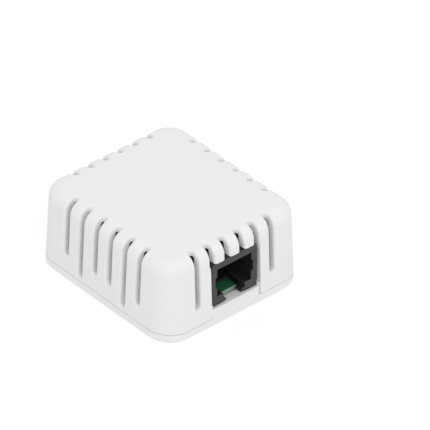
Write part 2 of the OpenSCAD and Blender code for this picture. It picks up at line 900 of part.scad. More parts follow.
module sensor_chip() {
    color("black")
        translate([0, sensor_y, 0])
            difference() {
                translate([-sensor_size / 2, -sensor_size / 2, board_top + sensor_foot_t])
                    cube([sensor_size, sensor_size, sensor_h]);
                translate([0, 0, board_top + sensor_foot_t + sensor_h - sensor_port_h])
                    cylinder(d = sensor_port_d, h = sensor_port_h + over);
            }
}

module sensor_pads() {
    first_x = -(sensor_feet - 1) / 2 * sensor_foot_pitch - sensor_foot_w / 2;
    foot_y = sensor_size / 2 - sensor_foot_l;
    color("silver")
        for (turn = [0, 180], i = [0 : sensor_feet - 1])
            translate([0, sensor_y, board_top])
                rotate([0, 0, turn])
                    translate([first_x + i * sensor_foot_pitch, foot_y, 0])
                        cube([sensor_foot_w, sensor_foot_l, sensor_foot_t]);
}

module controller_chip() {
    color("black")
        translate(controller_at) chip_block([controller_l, controller_w, controller_h]);
}

module controller_leads() {
    color("silver")
        translate(controller_at)
            for (turn = [0, 180])
                rotate([0, 0, turn])
                    lead_row(controller_pins, controller_pitch, controller_w / 2, controller_h / 2);
}

module regulator_chip() {
    color("black")
        translate(regulator_at) chip_block([regulator_l, regulator_w, regulator_h]);
}

module regulator_leads() {
    color("silver")
        translate(regulator_at) {
            lead_row(2, regulator_pitch, regulator_w / 2, regulator_h / 2);
            rotate([0, 0, 180]) lead_row(1, 0, regulator_w / 2, regulator_h / 2);
        }
}

module surge_diode() {
    color("black")
        translate([0, diode_y, 0]) chip_block([diode_l, diode_w, diode_h]);
}

module surge_diode_leads() {
    color("silver")
        translate([0, diode_y, board_top])
            for (turn = [0, 180])
                rotate([0, 0, turn])
                    translate([diode_l / 2, 0, 0]) bent_lead(diode_h / 2);
}

module bulk_capacitor() {
    color("orange")
        translate(bulk_at) chip_block([bulk_l, bulk_w, bulk_h]);
}

// Flat feet that fold up the two ends of the bulk capacitor
module bulk_capacitor_leads() {
    color("silver")
        translate(concat(bulk_at, [board_top]))
            for (turn = [0, 180])
                rotate([0, 0, turn]) {
                    translate([bulk_l / 2 - bulk_foot_l, -bulk_foot_w / 2, 0])
                        cube([bulk_foot_l + lead_t, bulk_foot_w, chip_clearance]);
                    translate([bulk_l / 2, -bulk_foot_w / 2, 0])
                        cube([lead_t, bulk_foot_w, bulk_h / 2]);
                }
}

module at_places(places) {
    for (place = places)
        translate([place[0], place[1], board_top]) rotate([0, 0, place[2]]) children();
}

module chip_middle(height) {
    translate([-chip_l / 2 + chip_end, -chip_w / 2, 0]) cube([chip_l - 2 * chip_end, chip_w, height]);
}

module chip_ends(height) {
    for (end = [-chip_l / 2, chip_l / 2 - chip_end])
        translate([end, -chip_w / 2, 0]) cube([chip_end, chip_w, height]);
}

module capacitor_bodies() {
    color("tan") at_places(capacitors_at) chip_middle(capacitor_h);
}

module capacitor_ends() {
    color("silver") at_places(capacitors_at) chip_ends(capacitor_h);
}

module resistor_bodies() {
    color("black") at_places(resistors_at) chip_middle(resistor_h);
}

module resistor_ends() {
    color("silver") at_places(resistors_at) chip_ends(resistor_h);
}

cover();
base();
circuit_board();
board_screws();
jack_housing();
jack_insert();
for (i = [1 : contacts]) contact_lead(i);
for (i = [1 : contacts]) contact_spring(i);
solder_joints();
sensor_chip();
sensor_pads();
controller_chip();
controller_leads();
regulator_chip();
regulator_leads();
surge_diode();
surge_diode_leads();
bulk_capacitor();
bulk_capacitor_leads();
capacitor_bodies();
capacitor_ends();
resistor_bodies();
resistor_ends();
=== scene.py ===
import json
import math

import bmesh
import bpy
from mathutils import Matrix, Vector


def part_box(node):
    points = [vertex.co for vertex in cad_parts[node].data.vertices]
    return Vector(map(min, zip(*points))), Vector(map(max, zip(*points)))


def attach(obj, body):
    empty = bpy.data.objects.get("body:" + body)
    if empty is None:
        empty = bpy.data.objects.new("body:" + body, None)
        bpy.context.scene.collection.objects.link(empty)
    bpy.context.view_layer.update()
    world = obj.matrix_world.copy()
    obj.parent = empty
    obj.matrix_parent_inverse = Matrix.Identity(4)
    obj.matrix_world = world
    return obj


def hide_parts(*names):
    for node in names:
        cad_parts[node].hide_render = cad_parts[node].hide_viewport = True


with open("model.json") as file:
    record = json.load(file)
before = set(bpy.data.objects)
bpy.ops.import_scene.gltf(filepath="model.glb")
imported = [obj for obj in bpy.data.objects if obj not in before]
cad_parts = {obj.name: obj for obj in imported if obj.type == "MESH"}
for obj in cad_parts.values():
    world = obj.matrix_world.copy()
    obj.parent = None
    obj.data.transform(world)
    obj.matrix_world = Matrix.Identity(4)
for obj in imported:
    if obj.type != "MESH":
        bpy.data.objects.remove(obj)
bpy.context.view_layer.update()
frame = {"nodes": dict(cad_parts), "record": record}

# Lengths are in millimetres, and become metres where they are multiplied by MM
MM = 0.001
TOLERANCE, WELD_GAP = 0.001, 0.0005
NODES = frame["nodes"]
BODY_OF = {node: body for body, nodes in frame["record"]["behaviour"]["bodies"].items() for node in nodes}
SLOT_OF = {part["node"]: part["material_slot"] for part in frame["record"]["subparts"]}


# Materials

TONE_GRAIN = 8 * MM
SKIN_BUMP, SKIN_GLOSS_SPREAD = 0.35, 0.06
METAL_RIPPLE, METAL_BUMP, METAL_GLOSS_SPREAD = 0.01 * MM, 0.3, 0.3


def new_material(name, colour, roughness, specular=0.5, metallic=0.0):
    """A material whose shader holds these plain values, ready for detail."""
    material = bpy.data.materials.new(name)
    material.use_nodes = True
    shader = material.node_tree.nodes["Principled BSDF"]
    shader.inputs["Base Color"].default_value = (*colour, 1)
    shader.inputs["Roughness"].default_value = roughness
    shader.inputs["Specular IOR Level"].default_value = specular
    shader.inputs["Metallic"].default_value = metallic
    return material


def noise(material, grain, detail=2.0):
    """A noise texture in object space, with grains of about this size in metres."""
    nodes = material.node_tree.nodes
    place = nodes.new("ShaderNodeTexCoord")
    texture = nodes.new("ShaderNodeTexNoise")
    texture.inputs["Scale"].default_value = 1 / grain
    texture.inputs["Detail"].default_value = detail
    material.node_tree.links.new(place.outputs["Object"], texture.inputs["Vector"])
    return texture


def vary_colour(material, texture, dark, light):
    """The texture mixes the base colour between two tones."""
    nodes, links = material.node_tree.nodes, material.node_tree.links
    mix = nodes.new("ShaderNodeMix")
    mix.data_type = "RGBA"
    mix.inputs["A"].default_value = (*dark, 1)
    mix.inputs["B"].default_value = (*light, 1)
    links.new(texture.outputs["Fac"], mix.inputs["Factor"])
    links.new(mix.outputs["Result"], nodes["Principled BSDF"].inputs["Base Color"])


def vary_roughness(material, texture, low, high):
    """The texture moves the roughness between two values."""
    nodes, links = material.node_tree.nodes, material.node_tree.links
    span = nodes.new("ShaderNodeMapRange")
    span.inputs["To Min"].default_value = low
    span.inputs["To Max"].default_value = high
    links.new(texture.outputs["Fac"], span.inputs["Value"])
    links.new(span.outputs["Result"], nodes["Principled BSDF"].inputs["Roughness"])


def add_bump(material, texture, height, strength):
    """The texture raises the surface by this height in metres."""
    nodes, links = material.node_tree.nodes, material.node_tree.links
    bump = nodes.new("ShaderNodeBump")
    bump.inputs["Strength"].default_value = strength
    bump.inputs["Distance"].default_value = height
    links.new(texture.outputs["Fac"], bump.inputs["Height"])
    links.new(bump.outputs["Normal"], nodes["Principled BSDF"].inputs["Normal"])


def moulded_plastic(name, colour, roughness, grain, height, spread=0.03, specular=0.5):
    """Moulded plastic: a fine spark-eroded skin and a faint drift of tone."""
    material = new_material(name, colour, roughness, specular)
    drift = noise(material, TONE_GRAIN)
    vary_colour(material, drift, [c * (1 - spread) for c in colour], [c * (1 + spread) for c in colour])
    skin = noise(material, grain, detail=3.0)
    vary_roughness(material, skin, roughness - SKIN_GLOSS_SPREAD, roughness + SKIN_GLOSS_SPREAD)
    add_bump(material, skin, height, SKIN_BUMP)
    return material


def worked_metal(name, colour, roughness, grain):
    """Plated or tinned metal with small ripples and an uneven polish."""
    material = new_material(name, colour, roughness, metallic=1.0)
    skin = noise(material, grain)
    low, high = roughness * (1 - METAL_GLOSS_SPREAD), roughness * (1 + METAL_GLOSS_SPREAD)
    vary_roughness(material, skin, low, high)
    add_bump(material, skin, METAL_RIPPLE, METAL_BUMP)
    return material


def board_laminate():
    """Solder mask over glass cloth, with the weave showing faintly."""
    material = new_material("board_laminate", (0.02, 0.16, 0.07), 0.35)
    weave = noise(material, grain=0.5 * MM, detail=1.0)
    vary_colour(material, weave, (0.016, 0.135, 0.06), (0.026, 0.185, 0.085))
    add_bump(material, weave, height=0.01 * MM, strength=0.25)
    return material


# Colour, roughness, the size and the height of the grain, and then the drift of tone and the shine where
# they are not the usual ones
PLASTICS = {
    "case_plastic": ((0.87, 0.87, 0.865), 0.55, 0.12 * MM, 0.01 * MM, 0.006),
    # Painted shade: the cover's inner faces are near black, though the cover is white plastic all through, so
    # that its inside looks shaded through the slots
    "painted_shade_inside": ((0.05, 0.05, 0.05), 0.8, 0.12 * MM, 0.01 * MM),
    "jack_plastic": ((0.016, 0.016, 0.017), 0.4, 0.15 * MM, 0.01 * MM, 0.03, 0.62),
    "chip_epoxy": ((0.022, 0.022, 0.024), 0.6, 0.08 * MM, 0.008 * MM, 0.1),
    "moulded_capacitor": ((0.6, 0.3, 0.03), 0.5, 0.1 * MM, 0.008 * MM, 0.06),
    "capacitor_ceramic": ((0.34, 0.2, 0.1), 0.5, 0.06 * MM, 0.004 * MM, 0.08),
    "resistor_ceramic": ((0.02, 0.02, 0.022), 0.35, 0.06 * MM, 0.004 * MM, 0.1),
    "masked_copper": ((0.04, 0.25, 0.11), 0.35, 0.2 * MM, 0.005 * MM, 0.08),
    "bare_laminate": ((0.5, 0.62, 0.52), 0.6, 0.1 * MM, 0.01 * MM, 0.08),
    "white_ink": ((0.75, 0.75, 0.72), 0.6, 0.1 * MM, 0.005 * MM, 0.04),
}

# Colour, roughness and the size of the ripples
METALS = {
    "screw_steel": ((0.62, 0.62, 0.64), 0.3, 0.4 * MM),
    "contact_gold": ((0.86, 0.6, 0.22), 0.25, 0.3 * MM),
    "tinned_metal": ((0.68, 0.68, 0.7), 0.35, 0.3 * MM),
}

MATERIALS = {"board_laminate": board_laminate()}
MATERIALS.update({name: moulded_plastic(name, *values) for name, values in PLASTICS.items()})
MATERIALS.update({name: worked_metal(name, *values) for name, values in METALS.items()})


# Shapes

SHARP_ANGLE, FLAT_ANGLE = math.radians(40), math.radians(0.5)


def add_piece(name, mesh, body, slot, finish=None):
    """A new piece that moves with a body, in the material of its slot or in a finish of its own."""
    piece = bpy.data.objects.new(name, mesh)
    bpy.context.scene.collection.objects.link(piece)
    mesh.materials.append(MATERIALS[finish or slot])
    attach(piece, body)
    return piece


def welded_copy(node):
    """The node's own mesh as a bmesh, with its seams closed and its flat faces whole."""
    form = bmesh.new()
    form.from_mesh(NODES[node].data)
    bmesh.ops.remove_doubles(form, verts=form.verts, dist=WELD_GAP * MM)
    bmesh.ops.dissolve_limit(
        form, angle_limit=FLAT_ANGLE, verts=form.verts, edges=form.edges, use_dissolve_boundaries=False)
    form.normal_update()
    return form


def sharp_edges(form):
    """The edges at which two faces meet at a sharp angle."""
    return [edge for edge in form.edges if len(edge.link_faces) == 2 and edge.calc_face_angle() > SHARP_ANGLE]


def round_edges(form, edges, radius, segments=3):
    """Rounds these edges off, with as many faces across as there are segments."""
    bmesh.ops.bevel(
        form, geom=edges, offset=radius, offset_type="OFFSET", segments=segments, profile=0.5, affect="EDGES",
        material=-1, clamp_overlap=False)


def finish_mesh(form, name):
    """Turns a form into a smooth-shaded mesh."""
    mesh = bpy.data.meshes.new(name)
    for face in form.faces:
        face.smooth = True
    form.to_mesh(mesh)
    form.free()
    return mesh


def weigh_normals(piece):
    """Shades the piece by its large faces, so that its small roundings look round."""
    piece.modifiers.new("weighted_normals", "WEIGHTED_NORMAL").keep_sharp = True


def rounded_node(node, radius):
    """A piece in place of a CAD node, with its sharp edges rounded off."""
    form = welded_copy(node)
    round_edges(form, sharp_edges(form), radius)
    piece = add_piece(node + "_form", finish_mesh(form, node + "_form"), BODY_OF[node], SLOT_OF[node])
    weigh_normals(piece)
    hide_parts(node)


# Cover

def frame_length(value):
    """A length from the frame in millimetres, to the micrometre."""
    return round(value / MM, 3)


# The case takes its overall size from the cover's box. Its radii, slope, walls and slots, and the groove at
# the cover's foot, have the same values as in the CAD model.
COVER_LOW, COVER_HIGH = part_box("cover")
CORNER_R, TOP_R, INNER_R = 6.5, 3.2, 0.4
SLOPE = math.tan(math.radians(2.6))
WALL, ROOF = 2.2, 1.6
RIM_H, REVEAL_H, REVEAL_D = frame_length(COVER_LOW.z), 0.15, 0.4
FOOT_LEAN = SLOPE * (RIM_H + REVEAL_H) * MM
CASE_W, CASE_D = 2 * frame_length(COVER_HIGH.x + FOOT_LEAN), 2 * frame_length(COVER_HIGH.y + FOOT_LEAN)
CASE_H = frame_length(COVER_HIGH.z)
SLOTS_PER_SIDE, SLOT_W = 6, 1.35
SLOT_PITCH_X, SLOT_PITCH_Y = 4.34, 4.85
SLOT_FOOT, LONG_SLOT_FOOT = 6.3, 3.0
MOUTH_R, MOUTH_STEPS = 0.7, 4

# The window leaves a gap beside the jack and above it
JACK_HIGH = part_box("jack_housing")[1]
WINDOW_GAP, WINDOW_TOP_GAP = 0.585, 0.15
WINDOW_HALF, WINDOW_TOP = frame_length(JACK_HIGH.x) + WINDOW_GAP, frame_length(JACK_HIGH.z) + WINDOW_TOP_GAP

# Faces that meet at more than this keep a visible edge
CREASE_ANGLE = math.radians(35)

# The cover's grid: a frame of faces round each slot, and the rows of the section that bound its parts
SLOT_FRAME = 1.0
PLAIN_HEIGHTS = (9.0, 11.5, 14.0)
CORNER_STEPS, ARC_STEPS = 10, 6
LONG_FOOT_ROWS, SHORT_FOOT_ROWS, WINDOW_ROW, ARC_ROW = (2, 1, 0), (5, 4, 3), 9, 10
END_ROWS = (ARC_ROW + ARC_STEPS, ARC_ROW + ARC_STEPS + 1, ARC_ROW + ARC_STEPS + 2)
END_ANGLES = [math.radians(angle) for angle in (-90, -67.5, -45, -15, 15, 45, 67.5, 90)]

# Kinds of face, and the places of the open and the framed rows in a stop's values
OUTER, INNER, WALLS, RIM = range(4)
OPEN_ROWS, FRAMED_ROWS = 2, 3


def edge_round(skin):
    """The radius of the rounding between walls and roof, and the height at which it begins."""
    radius, top = (INNER_R, CASE_H - ROOF) if skin == INNER else (TOP_R, CASE_H)
    return radius, top - radius


def wall_point(z, skin):
    """A point on a wall or its rounding: the distance from a corner's upright axis, and the height."""
    radius, start = edge_round(skin)
    upright = CORNER_R - SLOPE * min(z, start) - (WALL if skin == INNER else 0)
    return upright - radius + math.sqrt(radius ** 2 - max(z - start, 0) ** 2), z


def roof_point(reach, skin):
    """A point on the rounding or on the roof, at this distance from a corner's upright axis."""
    radius, start = edge_round(skin)
    middle = wall_point(start, skin)[0] - radius
    return reach, start + math.sqrt(radius ** 2 - max(reach - middle, 0) ** 2)


def on_both_skins(place, value):
    """The point that a rule gives on the outside, and the one that it gives on the inside."""
    return place(value, OUTER), place(value, INNER)


def roof_edge():
    """Where the roof begins, as a distance from a corner's upright axis."""
    return wall_point(CASE_H - TOP_R, OUTER)[0] - TOP_R


def cover_rows():
    """The cover's section from the foot up to the roof, as pairs of points on the outside and the inside."""
    foot = RIM_H + REVEAL_H
    long_middle, short_middle = LONG_SLOT_FOOT + SLOT_W / 2, SLOT_FOOT + SLOT_W / 2
    rows = [(wall_point(foot, OUTER), wall_point(RIM_H, INNER))]
    heights = [(foot + long_middle) / 2, long_middle]
    heights += [SLOT_FOOT - SLOT_FRAME, SLOT_FOOT - SLOT_FRAME / 4, short_middle]
    rows += [on_both_skins(wall_point, z) for z in (*heights, *PLAIN_HEIGHTS, WINDOW_TOP)]
    start = CASE_H - TOP_R
    slot_end = roof_edge() + SLOT_W / 2
    turn = math.acos(SLOT_W / 2 / TOP_R)
    inner_rise = roof_point(slot_end, INNER)[1] - start
    for step in range(ARC_STEPS):
        share = step / ARC_STEPS
        outer_z, inner_z = start + TOP_R * math.sin(share * turn), start + share * inner_rise
        rows.append((wall_point(outer_z, OUTER), wall_point(inner_z, INNER)))
    reaches = (slot_end, roof_edge(), roof_edge() - SLOT_FRAME, 0)
    rows += [on_both_skins(roof_point, reach) for reach in reaches]
    return rows


def slot_middles(pitch):
    """The places of the slots along a side, from its middle."""
    return [(slot - (SLOTS_PER_SIDE - 1) / 2) * pitch for slot in range(SLOTS_PER_SIDE)]


def foot_rows(slot, middle, jack_side):
    """The rows round a slot's foot, or none where the slot runs into the jack's window."""
    if jack_side and abs(middle) < WINDOW_HALF:
        return ()
    return LONG_FOOT_ROWS if slot in (1, SLOTS_PER_SIDE - 2) else SHORT_FOOT_ROWS


def cell_spans(place, pitch, jack_side):
    """The rows that are open, and those left for the round ends of a slot, at this place along a side."""
    opened, framed = [], []
    for slot, middle in enumerate(slot_middles(pitch)):
        feet = foot_rows(slot, middle, jack_side)
        if abs(place - middle) < SLOT_W / 2:
            opened.append((feet[0] if feet else WINDOW_ROW, END_ROWS[0]))
        if abs(place - middle) < SLOT_W / 2 + SLOT_FRAME:
            framed += [(END_ROWS[0], END_ROWS[2])] + ([(feet[2], feet[0])] if feet else [])
    if jack_side and abs(place) < WINDOW_HALF:
        opened.append((0, WINDOW_ROW))
    return opened, framed


def cover_sides():
    """Each side: its number, the turn that faces it, its straight run, the distance across and the pitch."""
    run_x, run_y = CASE_W - 2 * CORNER_R, CASE_D - 2 * CORNER_R
    for quarter in range(4):
        run, across, pitch = ((run_x, run_y, SLOT_PITCH_X), (run_y, run_x, SLOT_PITCH_Y))[quarter % 2]
        yield quarter, Matrix.Rotation(quarter * math.pi / 2, 2), run, across, pitch


def cover_stations():
    """The stops round the cover: a point on the rectangle of the corners' axes, the way out, and the open
    and framed rows from there to the next stop."""
    stations = []
    for quarter, turn, run, across, pitch in cover_sides():
        edges = (-SLOT_W / 2 - SLOT_FRAME, -SLOT_W / 2, SLOT_W / 2, SLOT_W / 2 + SLOT_FRAME)
        slot_lines = [middle + edge for middle in slot_middles(pitch) for edge in edges]
        lines = sorted([-run / 2, run / 2] + slot_lines)
        for line, following in zip(lines, lines[1:]):
            spans = cell_spans((line + following) / 2, pitch, quarter == 0)
            stations.append((turn @ Vector((line, -across / 2)), turn @ Vector((0, -1)), *spans))
        corner = turn @ Vector((run / 2, -across / 2))
        for step in range(CORNER_STEPS):
            lean = (quarter + step / CORNER_STEPS) * math.pi / 2
            stations.append((corner, Vector((math.sin(lean), -math.cos(lean))), [], []))
    return stations


class CoverForm:
    """The cover as a closed form: an outer and an inner skin on one grid, joined round every opening."""

    def __init__(self):
        self.form = bmesh.new()
        self.rows, self.stations = cover_rows(), cover_stations()
        self.corners = {}
        for here in range(len(self.stations)):
            self.add_column(here)
        for quarter, turn, run, across, pitch in cover_sides():
            for slot, middle in enumerate(slot_middles(pitch)):
                self.add_slot_ends(turn, across, middle, foot_rows(slot, middle, quarter == 0))
        self.fill_roof()

    def corner(self, axis, way, point):
        """The corner that lies out from an axis at a point of the section, made once and then shared."""
        place = Vector((*(axis + way * point[0]), point[1])) * MM
        key = tuple(round(value / MM, 4) for value in place)
        if key not in self.corners:
            self.corners[key] = self.form.verts.new(place)
        return self.corners[key]

    def at(self, station, point):
        """The corner of a stop at a point of the section."""
        return self.corner(*self.stations[station % len(self.stations)][:2], point)

    def add_face(self, corners, kind):
        """A face of this kind, in which a corner that comes twice counts once."""
        self.form.faces.new(list(dict.fromkeys(corners))).material_index = kind

    def in_spans(self, station, row, kind):
        """Whether a row lies in a stop's open rows, or in its framed rows."""
        spans = self.stations[station % len(self.stations)][kind]
        return any(low <= row < high for low, high in spans)

    def is_open(self, station, row):
        """Whether the cover is open in this row, between this stop and the next."""
        return self.in_spans(station, row, OPEN_ROWS)

    def add_column(self, here):
        """The faces between one stop and the next: both skins, and walls where an opening begins."""
        after = here + 1
        foot, sole = self.rows[0]
        ring = (foot, (foot[0] - REVEAL_D, foot[1]), (wall_point(RIM_H, OUTER)[0] - REVEAL_D, RIM_H), sole)
        for row, (low, high) in enumerate(zip(self.rows, self.rows[1:])):
            if self.is_open(here, row) or self.in_spans(here, row, FRAMED_ROWS):
                continue
            for skin in (OUTER, INNER):
                self.add_strip(here, low[skin], high[skin], skin)
            for side, other in ((here, here - 1), (after, after)):
                if self.is_open(other, row):
                    self.add_face([self.at(side, point) for point in (*low, *reversed(high))], WALLS)
                    if row == 0:
                        self.add_face([self.at(side, point) for point in ring], RIM)
            for level, other in ((low, row - 1), (high, row + 1)):
                if self.is_open(here, other):
                    self.add_strip(here, *level, WALLS)
        if not self.is_open(here, 0):
            for low, high in zip(ring, ring[1:]):
                self.add_strip(here, low, high, RIM)

    def add_strip(self, here, low, high, kind):
        """A face from this stop to the next, between two points of the section."""
        after = here + 1
        bottom, top = [self.at(here, low), self.at(after, low)], [self.at(after, high), self.at(here, high)]
        self.add_face(bottom + top, kind)

    def add_slot_ends(self, turn, across, middle, feet):
        """The round foot of a slot, if it has one, and its round end on the roof."""
        ends = [(END_ROWS, roof_point, roof_edge() + SLOT_W / 2)]
        if feet:
            ends.append((feet, wall_point, self.rows[feet[0]][OUTER][1]))
        for rows, place, centre in ends:
            self.add_round_end(turn, across, middle, rows, place, centre)

    def add_round_end(self, turn, across, middle, rows, place, centre):
        """Faces from a half circle out to the frame round it, on both skins, and the wall between them."""
        def at(along, point):
            return self.corner(turn @ Vector((middle + along, -across / 2)), turn @ Vector((0, -1)), point)

        near, half, far = rows
        inner, outer = SLOT_W / 2, SLOT_W / 2 + SLOT_FRAME
        bounds = [(-outer, near), (-outer, half), (-outer, far), (-inner, far)]
        bounds += [(-along, row) for along, row in reversed(bounds)]
        steps = range(len(END_ANGLES) - 1)
        rings = []
        for skin in (OUTER, INNER):
            border = [at(along, self.rows[row][skin]) for along, row in bounds]
            ring = [at(inner * math.sin(a), place(centre - inner * math.cos(a), skin)) for a in END_ANGLES]
            for k in steps:
                self.add_face([border[k], border[k + 1], ring[k + 1], ring[k]], skin)
            rings.append(ring)
        for k in steps:
            self.add_face([rings[OUTER][k], rings[OUTER][k + 1], rings[INNER][k + 1], rings[INNER][k]], WALLS)

    def fill_roof(self):
        """Closes the roof inside the ring of the corners' axes, and turns every face outwards."""
        for skin, height in ((OUTER, CASE_H), (INNER, CASE_H - ROOF)):
            rim = [edge for edge in self.form.edges if edge.is_boundary
                   and all(abs(vert.co.z - height * MM) < TOLERANCE * MM for vert in edge.verts)]
            for face in bmesh.ops.contextual_create(self.form, geom=rim)["faces"]:
                face.material_index = skin
        bmesh.ops.recalc_face_normals(self.form, faces=self.form.faces)


def edges_between(form, first, second):
    """The edges at which a face of the first kind meets one of the second, whose number is higher."""
    kinds = {edge: sorted(face.material_index for face in edge.link_faces) for edge in form.edges}
    return [edge for edge in form.edges if kinds[edge] == [first, second]]


def press_flat(form):
    """Brings the few points that the rounding lifted above the roof back down to it."""
    for vert in form.verts:
        vert.co.z = min(vert.co.z, CASE_H * MM)


def along_window(edge):
    """Whether an edge belongs to the jack's window, whose edges stay crisp."""
    half, top = WINDOW_HALF + TOLERANCE, WINDOW_TOP + TOLERANCE
    return all(y < 0 and abs(x) < half and z < top for x, y, z in (vert.co / MM for vert in edge.verts))


def vented_cover():
    """The cover, with round ends and soft mouths to its slots, and its inner skin painted near black as
    shade.
    """
    form = CoverForm().form
    mouths = [edge for edge in edges_between(form, OUTER, WALLS) if not along_window(edge)]
    round_edges(form, mouths, MOUTH_R * MM, MOUTH_STEPS)
    press_flat(form)
    # The inner skin takes the painted-shade material: the white inside is painted near black to stand in for
    # its shade
    for face in form.faces:
        face.material_index = 1 if face.material_index == INNER else 0
    for edge in form.edges:
        edge.smooth = edge.calc_face_angle(0) < CREASE_ANGLE
    piece = add_piece("cover_shell", finish_mesh(form, "cover_shell"), "cover", "case_plastic")
    piece.data.materials.append(MATERIALS["painted_shade_inside"])
    weigh_normals(piece)
    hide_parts("cover")


# What is printed and soldered on the board

BOARD_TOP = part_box("circuit_board")[1].z / MM
COPPER_H, INK_H = 0.035, 0.02
TRACK_W, INK_W, PAD_MARGIN, FOOT_REACH = 0.3, 0.15, 0.18, 0.01
SCREW_HEAD_R, RING_R, RING_HOLE_R = 1.9, 2.2, 1.15
OUTLINE_GAP, OUTLINE_R = 0.25, 0.1
DOT_R, DOT_OUT, DOT_UP = 0.3, 0.8, 0.4
BAR_START, BAR_INSET, BAR_R = 0.25, 0.15, 0.05
BAR_WIDTHS = {"bulk_capacitor": 0.5, "surge_diode": 0.4}
LEVEL_FACE = 0.5
SOLDERED = ("sensor_pads", "controller_leads", "regulator_leads", "surge_diode_leads", "bulk_capacitor_leads",
            "capacitor_ends", "resistor_ends")
OUTLINED = ("sensor_chip", "controller_chip", "regulator_chip", "surge_diode", "bulk_capacitor")

# Bends of the copper tracks, as x and y in the frame
TRACKS = (
    ((-2.55, -5.2), (-4.2, -3.55), (-4.2, 1.7)),
    ((2.55, -5.2), (4.2, -3.55), (4.2, 1.7)),
    ((-4.2, 3.2), (-4.2, 4.3), (-4.9, 5.0), (-7.9, 5.0), (-8.79, 4.11), (-8.79, 3.2)),
    ((-1.4, 3.2), (-1.4, 5.3), (-2.0, 5.9), (-8.3, 5.9), (-10.06, 4.14), (-10.06, 3.2)),
    ((-0.75, 14.5), (-0.75, 8.2), (-2.45, 6.5), (-9.9, 6.5)),
    ((-0.25, 14.5), (-0.25, 5.65), (1.4, 4.0), (1.4, 3.2)),
    ((0.25, 14.5), (0.25, 12.4), (2.9, 9.75), (4.6, 9.75)),
    ((0.75, 14.5), (0.75, 9.5), (2.5, 7.75), (4.6, 7.75)),
    ((11.64, -3.6), (12.6, -2.64), (12.6, -0.5)),
    ((12.6, -0.5), (12.6, 2.3), (11.6, 3.2)),
    ((9.8, 3.2), (7.0, 3.2), (5.6, 4.6), (4.9, 4.6), (4.2, 3.9), (4.2, 3.2)),
    ((11.6, -8.4), (12.6, -7.4), (11.64, -6.44)),
)


def solids_of(node):
    """The corners of each separate solid of a node, in millimetres."""
    form = bmesh.new()
    form.from_mesh(NODES[node].data)
    bmesh.ops.remove_doubles(form, verts=form.verts, dist=WELD_GAP * MM)
    seen, solids = set(), []
    for start in form.verts:
        queue = [] if start in seen else [start]
        seen.update(queue)
        solid = []
        while queue:
            here = queue.pop()
            solid.append(here.co / MM)
            fresh = [edge.other_vert(here) for edge in here.link_edges if edge.other_vert(here) not in seen]
            seen.update(fresh)
            queue += fresh
        if solid:
            solids.append(solid)
    form.free()
    return solids


def plan_box(points, margin):
    """The lowest and highest corner in plan of some points, with a margin."""
    low = [min(point[axis] for point in points) - margin for axis in (0, 1)]
    return low, [max(point[axis] for point in points) + margin for axis in (0, 1)]


def rounded_outline(low, high, radius, steps=3):
    """Points round a rectangle with rounded corners."""
    centres = [(high[0] - radius, high[1] - radius), (low[0] + radius, high[1] - radius),
               (low[0] + radius, low[1] + radius), (high[0] - radius, low[1] + radius)]
    outline = []
    for quarter, (x, y) in enumerate(centres):
        for step in range(steps + 1):
            turn = (quarter + step / steps) * math.pi / 2
            outline.append((x + radius * math.cos(turn), y + radius * math.sin(turn)))
    return outline


def track_outline(points, width):
    """The outline of a track along a line of points, with mitred bends."""
    points = [Vector(point) for point in points]
    ways = [(after - here).normalized() for here, after in zip(points, points[1:])]
    left, right = [], []
    for here, before, after in zip(points, ways[:1] + ways, ways + ways[-1:]):
        normal = Vector((-before.y, before.x))
        mitre = (normal + Vector((-after.y, after.x))).normalized()
        reach = mitre * width / 2 / mitre.dot(normal)
        left.append(here + reach)
        right.append(here - reach)
    return right + left[::-1]


def add_loops(form, loops):
    """Faces between loops of as many points, each with its height, all in millimetres."""
    corners = [[form.verts.new((x * MM, y * MM, z * MM)) for x, y in outline] for outline, z in loops]
    for low, high in zip(corners, corners[1:]):
        for k in range(len(low)):
            form.faces.new((low[k - 1], low[k], high[k], high[k - 1]))
    return corners


def add_slab(form, outline, low, height):
    """A flat slab with this outline."""
    bottom, top = add_loops(form, [(outline, low), (outline, low + height)])
    form.faces.new(bottom[::-1])
    form.faces.new(top)


def add_ring(form, outer, inner, low, height):
    """A flat ring between two outlines of as many points."""
    high = low + height
    add_loops(form, [(outer, low), (outer, high), (inner, high), (inner, low), (outer, low)])
    bmesh.ops.remove_doubles(form, verts=form.verts, dist=WELD_GAP * MM)


def circle(x, y, radius, count=32):
    """Points round a circle."""
    angles = [2 * math.pi * k / count for k in range(count)]
    return [(x + radius * math.cos(angle), y + radius * math.sin(angle)) for angle in angles]


def board_piece(name, form, slot, finish=None):
    """A flat-shaded piece that belongs to the board."""
    bmesh.ops.recalc_face_normals(form, faces=form.faces)
    mesh = bpy.data.meshes.new(name)
    form.to_mesh(mesh)
    form.free()
    return add_piece(name, mesh, "base_unit", slot, finish)


def cut_board():
    """The circuit board, with its cut edges in the pale tone of bare laminate."""
    form = welded_copy("circuit_board")
    for face in form.faces:
        face.material_index = 0 if abs(face.normal.z) > LEVEL_FACE else 1
    piece = board_piece("circuit_board_form", form, "board_laminate")
    piece.data.materials.append(MATERIALS["bare_laminate"])
    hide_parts("circuit_board")


def soldered_pads():
    """Tinned pads under every soldered foot, and tinned rings round the board's fixings."""
    form = bmesh.new()
    for node in SOLDERED:
        for solid in solids_of(node):
            foot = [point for point in solid if point.z < BOARD_TOP + FOOT_REACH]
            add_slab(form, rounded_outline(*plan_box(foot, PAD_MARGIN), PAD_MARGIN), BOARD_TOP, COPPER_H)
    screws_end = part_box("board_screws")[1] / MM
    reach_x, reach_y = screws_end.x - SCREW_HEAD_R, screws_end.y - SCREW_HEAD_R
    for x in (-reach_x, reach_x):
        for y in (-reach_y, reach_y):
            add_ring(form, circle(x, y, RING_R), circle(x, y, RING_HOLE_R), BOARD_TOP, COPPER_H)
    board_piece("board_pads", form, "tinned_metal")


